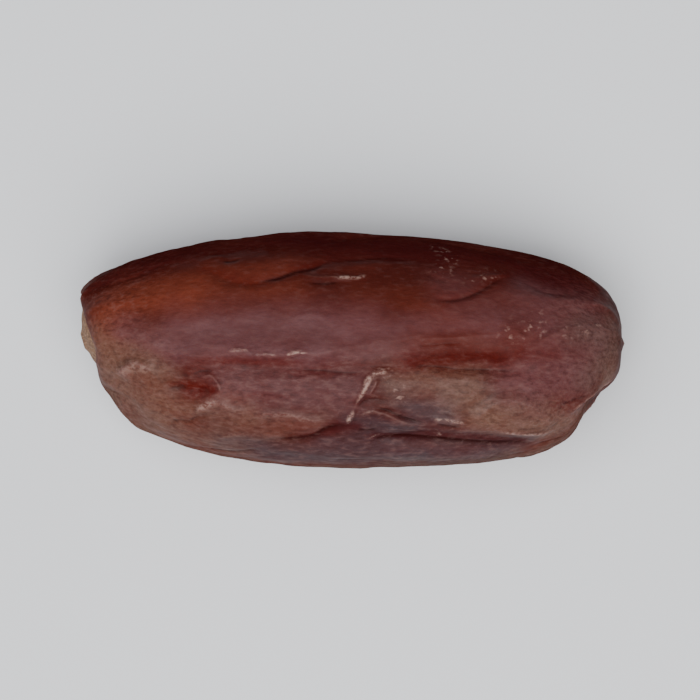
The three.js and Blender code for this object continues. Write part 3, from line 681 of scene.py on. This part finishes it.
def dent_middles():
    """Middles of the dents, on a staggered grid that each draw shakes."""
    draw = draws_from(DENT_SEED)
    middles = []
    rings = round(FRUIT_LENGTH / DENT_LENGTH)
    for ring in range(rings):
        share = -1 + 2 * (ring + 0.5) / rings
        needed = math.floor(math.pi * FRUIT_WIDTH * float(girth(share)) / DENT_WIDTH + 0.5)
        count = max(FEWEST_DENTS_ROUND, needed)
        for i in range(count):
            along = share + 2 * DENT_SHAKE * (next(draw) - 0.5) / rings
            roll = 2 * math.pi * (i + 0.5 * (ring % 2) + DENT_SHAKE * (next(draw) - 0.5)) / count
            middles.append(body_points(np.clip(along, -DENTS_END_AT, DENTS_END_AT), roll))
    return np.array(middles)


def net_depths(points):
    """The net of ridges: 0 on a ridge between two dents, and its full depth inside a dent."""
    sway = sum(size * np.sin(points @ np.array(along)) for size, along in NET_BENDS)
    squeeze = np.array([DENT_WIDTH / DENT_LENGTH, 1, 1])
    swayed = points * squeeze + sway[:, None] * NET_BENDS_TOWARDS
    nearest = np.full(len(points), np.inf)
    second = np.full(len(points), np.inf)
    for middle in dent_middles():
        distance = np.linalg.norm(swayed - middle * squeeze, axis=1)
        second = np.minimum(second, np.maximum(nearest, distance))
        nearest = np.minimum(nearest, distance)
    inside = 1 - bell(second - nearest, NET_RIDGE_WIDTH)
    strength = 1 - NET_LOST_ON_TOP * smoothstep(points[:, 2], NET_WEAKENS_FROM, NET_WEAKEST_FROM)
    return -DENT_DEPTH * inside * strength


def pleat_heights(share, roll):
    """Pleats that run into both ends: sharp crests with round furrows between them."""
    count = np.where(share < 0, STEM_PLEATS, TIP_PLEATS)
    wander = sum(size * np.sin(waves * roll + turn * share + start)
                 for size, waves, turn, start in PLEAT_WANDERS)
    wave = 1 - PLEAT_VALLEY * np.abs(np.sin(count * roll / 2 + wander))
    start = smoothstep(girth(share), *PLEATS_START_AT)
    end = 1 - smoothstep(girth(share), *PLEATS_END_AT)
    strength = mix(1, PLEAT_WEAKEST, (1 + np.cos(roll - math.radians(PLEATS_WEAKEST_ROLL))) / 2)
    return PLEAT_HEIGHT * wave * start * end * strength


def noise_at(points, size, seed):
    """Smooth noise from about -1 to 1, for a size in millimetres along each axis."""
    scaled = points / np.array(size) + seed * NOISE_SEED_STEP
    return np.array([noise.noise(p) for p in scaled.tolist()])


def ridges_at(points, size, seed, octaves):
    """Noise with sharp crests and round valleys, about -1 to 1."""
    scaled = points / np.array(size) + seed * RIDGE_SEED_STEP
    kind = (RIDGE_ROUGHNESS, RIDGE_SPACING, octaves, RIDGE_OFFSET, RIDGE_GAIN)
    crests = np.array([noise.ridged_multi_fractal(p, *kind) for p in scaled.tolist()])
    return (crests - crests.mean()) / (RIDGE_SPREAD * crests.std())


STEM_FACING = np.array([-1, -STEM_SLANT, 0]) / math.hypot(1, STEM_SLANT)
UPWARD = np.array([0, 0, 1.0])
SIDEWAYS = np.cross(STEM_FACING, UPWARD)
STEM_MIDDLE = body_points(np.array(-1.0), np.array(0.0))
TIP_MIDDLE = body_points(np.array(1.0), np.array(0.0))


def end_drop(radius):
    """How far the plump end has fallen away at a radius from its middle."""
    return HALF_LENGTH * (1 - girth(4 * radius / (FRUIT_WIDTH + FRUIT_THICKNESS)))


def seat_height(radius):
    return -SEAT_DEPTH - end_drop(radius)


def waves_at(angle, waves):
    """The sum of some waves at each angle."""
    return sum(w.size * np.sin(w.count * angle + w.start + w.sway * np.sin(w.sways * angle)) for w in waves)


def calyx_outline(angle):
    """Radius of the rim of the calyx: three lobes, ragged where they have dried."""
    lobes = CALYX_LOBE_DEPTH * waves_at(angle, CALYX_LOBE_WAVES)
    return CALYX_RADIUS * (1 + lobes + CALYX_RAGGEDNESS * waves_at(angle, CALYX_RAGGED_WAVES))


def press_seat(points):
    """Swells the skin to a shoulder round the stem's middle and sinks a smooth seat into it."""
    offset = points - STEM_MIDDLE
    height = offset @ STEM_FACING
    sideways, upward = offset @ SIDEWAYS, offset @ UPWARD
    radius = np.hypot(sideways, upward)
    rim = calyx_outline(np.arctan2(upward, sideways)) + SEAT_MARGIN
    seat = 1 - smoothstep(radius, rim, rim + SEAT_EDGE)
    swollen = height + SHOULDER_HEIGHT * bell(radius - SHOULDER_RADIUS, SHOULDER_WIDTH)
    pressed = mix(swollen, seat_height(np.minimum(radius, 2 * CALYX_RADIUS)), seat)
    shift = np.where(height > -HALF_LENGTH / 2, pressed - height, 0)
    return points + shift[:, None] * STEM_FACING


def tip_heights(points):
    radius = np.linalg.norm((points - TIP_MIDDLE)[:, 1:], axis=1)
    nib = NIB_HEIGHT * bell(radius, NIB_WIDTH) - DIMPLE_DEPTH * bell(radius, DIMPLE_WIDTH)
    return np.where(points[:, 0] > HALF_LENGTH / 2, nib, 0)


def settle(height):
    """Height above the flat: 0 below it, and a short round edge where the skin leaves it."""
    edge = (height + FLAT_EDGE) ** 2 / (4 * FLAT_EDGE)
    return np.where(height <= -FLAT_EDGE, 0, np.where(height >= FLAT_EDGE, height, edge))


def crest_depths(skin):
    """How far the skin reaches down below the flat, at the crests that the fruit stands on."""
    distance = np.min([np.hypot(skin[:, 0] - x, skin[:, 1] - y) for x, y in CRESTS], axis=0)
    return np.where(skin[:, 2] > FRUIT_THICKNESS / 4, 0, CREST_HEIGHT * bell(distance, CREST_WIDTH))


def shaken(points, shake):
    """The points moved a little by noise, which gives what is laid out over them uneven edges."""
    steps = [noise_at(points, shake.size, shake.seed + axis) for axis in range(3)]
    return points + shake.reach * np.stack(steps, axis=1)


def smoothness(points):
    """How far a place lies on the smooth upper flank or the flat band on top, from 0 to 1."""
    x, y, z = points.T
    on_top = smoothstep(z, *SMOOTH_BY_HEIGHT) * smoothstep(y, *SMOOTH_TOWARDS_BACK)
    return on_top * smoothstep(SMOOTH_HALF_LENGTH - np.abs(x), 0, SMOOTH_END_FADE)


def crumple_heights(points):
    """Fine crumpling of the dried skin, weaker on top and least on its smooth part."""
    moved = shaken(points, CRUMPLE_SHAKE)
    patchy = mix(1, noise_at(points, CRUMPLE_VARIES_OVER, CRUMPLE_SEED), CRUMPLE_VARIES_BY)
    on_top = mix(1, CRUMPLE_ON_TOP, smoothstep(points[:, 2], *CRUMPLE_TOP))
    on_smooth = mix(1, CRUMPLE_ON_SMOOTH, smoothness(points))
    crumples = sum(c.height * ridges_at(moved, c.size, c.seed, c.octaves) for c in CRUMPLES)
    return crumples * on_top * on_smooth * patchy


def box_skin(length_divisions, quarter_divisions):
    """Directions and faces of a divided box blown up to a ball, with even angles."""
    counts = np.array([length_divisions, quarter_divisions, quarter_divisions])
    corners = []
    for axis in range(3):
        u, v = (axis + 1) % 3, (axis + 2) % 3
        across, up = np.meshgrid(np.arange(counts[u]), np.arange(counts[v]), indexing="ij")
        for end in (0, counts[axis]):
            order = ((0, 0), (1, 0), (1, 1), (0, 1))
            for du, dv in order if end else order[::-1]:
                corner = np.empty((across.size, 3), int)
                corner[:, axis] = end
                corner[:, u] = across.ravel() + du
                corner[:, v] = up.ravel() + dv
                corners.append(corner)
    quads = [np.stack(corners[i : i + 4], axis=1) for i in range(0, len(corners), 4)]
    places, index = np.unique(np.vstack(quads).reshape(-1, 3), axis=0, return_inverse=True)
    warped = np.tan((2 * places / counts - 1) * math.pi / 4)
    directions = warped / np.linalg.norm(warped, axis=1, keepdims=True)
    return directions, index.reshape(-1, 4)


def smoothed(values, edges, rounds):
    """Values at the vertices after averaging each with its neighbours a number of times."""
    first, second = edges.T
    count = np.bincount(edges.ravel(), minlength=len(values))
    for _ in range(rounds):
        total = np.bincount(first, values[second], len(values))
        total += np.bincount(second, values[first], len(values))
        values = 0.5 * values + 0.5 * total / count
    return values


def make_mesh(name, points_mm, faces):
    mesh = bpy.data.meshes.new(name)
    mesh.from_pydata((points_mm * MM).tolist(), [], faces.tolist())
    mesh.polygons.foreach_set("use_smooth", [True] * len(mesh.polygons))
    mesh.update()
    piece = bpy.data.objects.new(name, mesh)
    bpy.context.scene.collection.objects.link(piece)
    return piece


def join_doubles(mesh):
    """Makes one vertex of those that lie at the same place."""
    joined = bmesh.new()
    joined.from_mesh(mesh)
    bmesh.ops.remove_doubles(joined, verts=joined.verts, dist=SAME_PLACE * MM)
    joined.to_mesh(mesh)
    joined.free()


def mesh_edges(mesh):
    edges = np.empty(2 * len(mesh.edges), np.int32)
    mesh.edges.foreach_get("vertices", edges)
    return edges.reshape(-1, 2)


def paint_attribute(mesh, name, values):
    attribute = mesh.attributes.new(name, "FLOAT", "POINT")
    attribute.data.foreach_set("value", values.astype(np.float32))


def frame_shift(points_mm, node):
    """The step that brings the middle of a shape over that of its node in the frame, and sets it down."""
    low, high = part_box(node)
    middle = (points_mm.min(axis=0) + points_mm.max(axis=0)) / 2
    wanted = np.array((low + high) / 2) / MM
    return np.array([wanted[0] - middle[0], wanted[1] - middle[1], -points_mm[:, 2].min()])


def patch_levels(patches, points):
    """How strongly the patches of one tint cover each point, from 0 to 1."""
    bare = np.ones(len(points))
    for patch in patches:
        line = path_on_body(patch.path)
        near = within(PATCH_REACH * patch.width, line, points)
        distance = distance_to(line, points[near])
        bare[near] *= 1 - patch.strength * bell(distance, patch.width)
    return 1 - bare


def make_fruit():
    """The whole skin of the fruit. Its attributes tell the finish what stands out, what is tinted, and where
    shade and highlights are painted.
    """
    directions, faces = box_skin(LENGTH_DIVISIONS, QUARTER_DIVISIONS)
    share = directions[:, 0]
    roll = np.arctan2(-directions[:, 1], directions[:, 2])
    roll -= TOP_FOCUS * np.sin(roll)
    points, normals = body_points(share, roll), body_normals(share, roll)
    height = net_depths(points) + pleat_heights(share, roll) + tip_heights(points)
    shade = np.zeros(len(points))
    for fold in FOLDS + flank_wrinkles():
        cover = fold_cover(fold, points, normals)
        height += fold.height * cover
        shade += fold.shade * cover
    height += crumple_heights(points)
    skin = press_seat(points + height[:, None] * normals)
    skin[:, 2] = settle(skin[:, 2] + FRUIT_THICKNESS / 2 - FLAT_DEPTH)
    skin[:, 2] -= crest_depths(skin)
    shift = frame_shift(skin, "date_fruit")
    fruit = make_mesh("date_skin_whole", skin + shift, faces)
    edges = mesh_edges(fruit.data)
    paint_attribute(fruit.data, "rise", height - smoothed(height, edges, RISE_ROUNDS))
    paint_attribute(fruit.data, "fine_rise", height - smoothed(height, edges, FINE_RISE_ROUNDS))
    paint_attribute(fruit.data, "shade", shade)
    paint_attribute(fruit.data, "smooth", smoothness(points))
    uneven = shaken(points, PATCH_SHAKE)
    for tint, patches in PATCHES.items():
        paint_attribute(fruit.data, tint, patch_levels(patches, uneven))
    return fruit, shift


class Level:
    """A number that varies over a surface. Sums and products of levels add the nodes that work them out."""

    def __init__(self, tree, socket):
        self.tree = tree
        self.socket = socket

    def work(self, operation, first, second):
        node = self.tree.nodes.new("ShaderNodeMath")
        node.operation = operation
        for place, value in zip(node.inputs, (first, second)):
            if isinstance(value, Level):
                self.tree.links.new(value.socket, place)
            else:
                place.default_value = value
        return Level(self.tree, node.outputs[0])

    def __add__(self, other):
        return self.work("ADD", self, other)

    def __sub__(self, other):
        return self.work("SUBTRACT", self, other)

    def __rsub__(self, other):
        return self.work("SUBTRACT", other, self)

    def __mul__(self, other):
        return self.work("MULTIPLY", self, other)

    __radd__ = __add__
    __rmul__ = __mul__

    def clipped(self):
        return self.work("MINIMUM", self.work("MAXIMUM", self, 0.0), 1.0)


class Finish:
    """A material for one kind of surface, with short calls for its nodes."""

    def __init__(self, name):
        self.material = bpy.data.materials.new(name)
        self.material.use_nodes = True
        self.tree = self.material.node_tree
        self.shader = self.tree.nodes["Principled BSDF"]

    def node(self, kind, settings, values):
        """Adds a node, sets its settings, then sets or links its inputs by name or number."""
        node = self.tree.nodes.new(kind)
        for name, value in settings.items():
            setattr(node, name, value)
        for name, value in values.items():
            self.feed(node.inputs[name], value)
        return node

    def feed(self, socket, value):
        if isinstance(value, Level):
            self.tree.links.new(value.socket, socket)
        elif isinstance(value, bpy.types.NodeSocket):
            self.tree.links.new(value, socket)
        else:
            socket.default_value = value

    def level(self, socket):
        return Level(self.tree, socket)

    def attribute(self, name):
        return self.level(self.node("ShaderNodeAttribute", {"attribute_name": name}, {}).outputs["Fac"])

    def ramp(self, level, low, high):
        """A level that goes smoothly from 0 to 1 as another goes from low to high."""
        settings = {"interpolation_type": "SMOOTHSTEP"}
        values = {"Value": level, "From Min": low, "From Max": high}
        return self.level(self.node("ShaderNodeMapRange", settings, values).outputs["Result"])

    def stretched(self, scale):
        """Coordinates for a pattern: the object's own, in millimetres, times a scale along each axis."""
        place = self.node("ShaderNodeTexCoord", {}, {}).outputs["Object"]
        values = {0: place, 1: tuple(s / MM for s in scale)}
        return self.node("ShaderNodeVectorMath", {"operation": "MULTIPLY"}, values).outputs[0]

    def noise(self, pattern):
        values = {"Vector": self.stretched(pattern.per_mm), "Scale": 1.0, "Detail": pattern.detail}
        values.update({"Roughness": pattern.roughness, "Distortion": pattern.distortion})
        return self.level(self.node("ShaderNodeTexNoise", {}, values).outputs["Fac"])

    def blend(self, share, first, second):
        """A colour between two others."""
        values = {"Factor": share, MIX_FIRST_COLOUR: first, MIX_SECOND_COLOUR: second}
        return self.node("ShaderNodeMix", {"data_type": "RGBA"}, values).outputs[MIXED_COLOUR]

    def tinted(self, base, tint, level, *weakeners):
        """The base with a tint laid over it where a level is high, less where it is weakened."""
        share = level if tint.low is None else self.ramp(level, tint.low, tint.high)
        share = share * tint.strength
        for weakener in weakeners:
            share = share * weakener
        return self.blend(share.clipped(), base, colour(*tint.shown))

    def bump(self, level, depth_mm, below=None):
        values = {"Height": level, "Strength": 1.0, "Distance": depth_mm * MM}
        if below is not None:
            values["Normal"] = below
        return self.node("ShaderNodeBump", {}, values).outputs["Normal"]

    def set(self, **values):
        for name, value in values.items():
            self.feed(self.shader.inputs[name.replace("_", " ")], value)


def colour(red, green, blue):
    """A colour from its display values, 0 to 255."""
    def linear(value):
        value /= 255
        return value / 12.92 if value <= 0.04045 else ((value + 0.055) / 1.055) ** 2.4
    return (linear(red), linear(green), linear(blue), 1.0)


def skin_levels(skin):
    """Everything that varies over the skin, by name: its attributes, its patterns and what they make."""
    at = SimpleNamespace()
    for name in ("rise", "fine_rise", "shade", "smooth", *PATCHES):
        setattr(at, name, skin.attribute(name))
    for name, pattern in SKIN_PATTERNS.items():
        setattr(at, name, skin.noise(pattern))
    at.uneven = at.mottle - 0.5
    at.lively = 1 - CALM_WHERE_SMOOTH * at.smooth
    at.lit = 1 - UNLIT_WHERE_DARK * at.dark
    at.specks = skin.ramp(at.dust, SPECK.low, SPECK.high) * at.speckled
    return at


def skin_colour(skin, at):
    """Deep red-brown, tinted by its patches, with painted shade in its furrows and painted highlights on
    crests.
    """
    patchy = mix(*MOTTLED_STRENGTHS, at.mottle)
    cloudy_rise = at.rise + HILL_CLOUDINESS * (at.cloud - 0.5)
    ragged = mix(PALE_LINE_LEAST, 1, skin.ramp(at.grain, *PALE_LINE_GAPS))
    # hollows, creases, fold lines and crepe lows get painted shade; rises, crests and crepe tops painted
    # highlights
    layers = [
        (WARM, at.cloud),
        (ORANGE, at.orange, patchy),
        (HOLLOW_SHADE, 0 - at.rise, patchy),
        (TAN, at.tan, patchy),
        (HILL_HIGHLIGHT_AND_BLOOM, cloudy_rise, patchy),
        (BLOOM_AND_SHEEN, at.bloom, patchy),
        (PLUM_SHADE, at.plum, patchy),
        (GREY_SHEEN, at.ash, patchy),
        (RED, at.red),
        (DARK_SKIN_AND_SHADE, at.dark, patchy),
        (CREASE_SHADE, 0 - at.fine_rise, patchy),
        (CREST_HIGHLIGHT, at.fine_rise, at.lit, patchy),
        (SHADE_LINE, 0 - at.shade, patchy),
        (CREPE_HIGHLIGHT, at.crepe, at.lively, at.lit, patchy),
        (CREPE_SHADE, at.crepe, at.lively, patchy),
        (DRY_GRAIN, at.grain, at.tan, patchy),
        (DRY_AND_HIGHLIGHT_LINE, at.shade, ragged, patchy),
        (SPECK, at.dust, at.speckled, patchy),
    ]
    base = colour(*DEEP_SKIN)
    for tint, *levels in layers:
        base = skin.tinted(base, tint, *levels)
    return base


def skin_relief(skin, at):
    """Fine wrinkles: the grain, with the crepe and then the mottling over it."""
    wrinkle = skin.bump(at.grain, GRAIN_RELIEF)
    wrinkle = skin.bump(at.crepe * at.lively, CREPE_RELIEF, wrinkle)
    return skin.bump(at.mottle, MOTTLE_RELIEF, wrinkle)


def changed(start, changes, at):
    """A level that starts from a number and is changed by others."""
    level = start
    for name, change in changes.items():
        level = level + change * getattr(at, name)
    return level


def skin_finish():
    """Dried date skin: softly glossy, and dull where dark skin, shade and grey sheen are painted."""
    skin = Finish("date_skin")
    at = skin_levels(skin)
    gloss = changed(SKIN_GLOSS, GLOSS_CHANGES, at).clipped()
    skin.set(Base_Color=skin_colour(skin, at), Normal=skin_relief(skin, at), Specular_IOR_Level=0.0)
    skin.set(Roughness=changed(SKIN_ROUGHNESS, ROUGHNESS_CHANGES, at))
    skin.set(Coat_Weight=gloss, Coat_Roughness=GLOSS_ROUGHNESS, Coat_IOR=GLOSS_IOR)
    skin.set(Subsurface_Weight=GLOW, Subsurface_Radius=GLOW_TINT, Subsurface_Scale=GLOW_DEPTH * MM)
    return skin.material


def calyx_finish():
    """Dry fibres, from brown to straw."""
    dry = Finish("dried_calyx")
    fibre = dry.noise(CALYX_FIBRE)
    dry.set(Base_Color=dry.tinted(colour(*CALYX_BROWN), CALYX_STRAW, fibre), Roughness=CALYX_ROUGHNESS)
    dry.set(Normal=dry.bump(fibre, FIBRE_RELIEF))
    return dry.material


def calyx_base(share, angle):
    """Height of the underside of the calyx over the stem's middle, for shares of the way out to its rim."""
    curl = CALYX_CURL * (CALYX_CURL_LEAST + waves_at(angle, CALYX_CURL_WAVES))
    return seat_height(share * calyx_outline(angle)) + SEAT_GAP + curl * share**3


def calyx_thickness(share, angle):
    """Thin at the rim, ribbed outwards, with a raised scar and a pit in the middle."""
    radius = share * CALYX_RADIUS
    ribs = CALYX_RIB_HEIGHT * waves_at(angle, CALYX_RIB_WAVES)
    scar = SCAR_HEIGHT * bell(radius - SCAR_RIM, SCAR_RIM_WIDTH) - SCAR_PIT * bell(radius, SCAR_PIT_WIDTH)
    body = mix(CALYX_THICKNESS, CALYX_EDGE_THICKNESS, share**4)
    return body + scar + ribs * share * (1 - share**4)


def make_calyx(shift):
    """The dry cap on the stem end."""
    ring, side = np.meshgrid(np.arange(CALYX_RINGS + 1), np.arange(CALYX_SIDES), indexing="ij")
    angle = 2 * math.pi * side / CALYX_SIDES
    share = ring / CALYX_RINGS
    radius = share * mix(CALYX_RADIUS, calyx_outline(angle), share**2)
    across = radius * np.cos(angle)
    up = radius * np.sin(angle)
    low = calyx_base(share, angle)
    sheets = []
    for height in (low + calyx_thickness(share, angle), low):
        steps = across[..., None] * SIDEWAYS + up[..., None] * UPWARD + height[..., None] * STEM_FACING
        sheets.append((STEM_MIDDLE + steps).reshape(-1, 3))
    points = np.vstack(sheets) + (0, 0, FRUIT_THICKNESS / 2 - FLAT_DEPTH)
    here = ring * CALYX_SIDES + side
    beside = np.roll(here, -1, axis=1)
    top = np.stack([here[:-1], beside[:-1], beside[1:], here[1:]], axis=-1).reshape(-1, 4)
    under = top[:, ::-1] + here.size
    rim = np.stack([here[-1], beside[-1], beside[-1] + here.size, here[-1] + here.size], axis=-1)
    cap = make_mesh("calyx_cap", points + shift, np.vstack([top, under, rim]))
    join_doubles(cap.data)
    return cap


def dress(piece, material, node):
    piece.data.materials.append(material)
    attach(piece, "root")
    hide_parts(node)


def make_floor():
    half = FLOOR_HALF_WIDTH / MM
    corners = np.array([(-half, -half, 0), (half, -half, 0), (half, half, 0), (-half, half, 0)])
    floor = make_mesh("floor", corners, np.array([[0, 1, 2, 3]]))
    finish = Finish("pale_floor")
    finish.set(Base_Color=colour(*FLOOR_COLOUR), Roughness=FLOOR_ROUGHNESS)
    floor.data.materials.append(finish.material)


def add_facing(name, data, middle, away, distance):
    """Adds a lamp or a camera that looks at the middle from a distance."""
    facing = bpy.data.objects.new(name, data)
    facing.location = middle + away * distance
    facing.rotation_mode = "QUATERNION"
    facing.rotation_quaternion = away.to_track_quat("Z", "Y")
    bpy.context.scene.collection.objects.link(facing)
    return facing


def make_lights():
    for lamp in LAMPS:
        light = bpy.data.lights.new(lamp.name, "AREA")
        light.size = lamp.size
        light.energy = lamp.watts
        light.color = lamp.tint
        add_facing(lamp.name, light, Vector(), Vector(lamp.direction).normalized(), lamp.distance)


def make_room():
    """The even light that comes from all round."""
    room = bpy.data.worlds.new("room")
    room.use_nodes = True
    light = room.node_tree.nodes["Background"].inputs
    light["Color"].default_value = ROOM_TINT
    light["Strength"].default_value = ROOM_BRIGHTNESS
    bpy.context.scene.world = room


def make_camera():
    """Almost straight down on the date, which fills about four fifths of the picture's width."""
    elevation = math.radians(CAMERA_ELEVATION)
    low, high = CAD_BOX
    away = Vector((0, -math.cos(elevation), math.sin(elevation)))
    lens = bpy.data.cameras.new("camera")
    lens.sensor_width = SENSOR_WIDTH
    lens.lens = SENSOR_WIDTH * CAMERA_DISTANCE / ((high.x - low.x) / DATE_SHARE_OF_WIDTH)
    bpy.context.scene.camera = add_facing("camera", lens, (low + high) / 2, away, CAMERA_DISTANCE)


make_camera()
fruit, fruit_shift = make_fruit()
dress(fruit, skin_finish(), "date_fruit")
dress(make_calyx(fruit_shift), calyx_finish(), "calyx")
make_floor()
make_lights()
make_room()
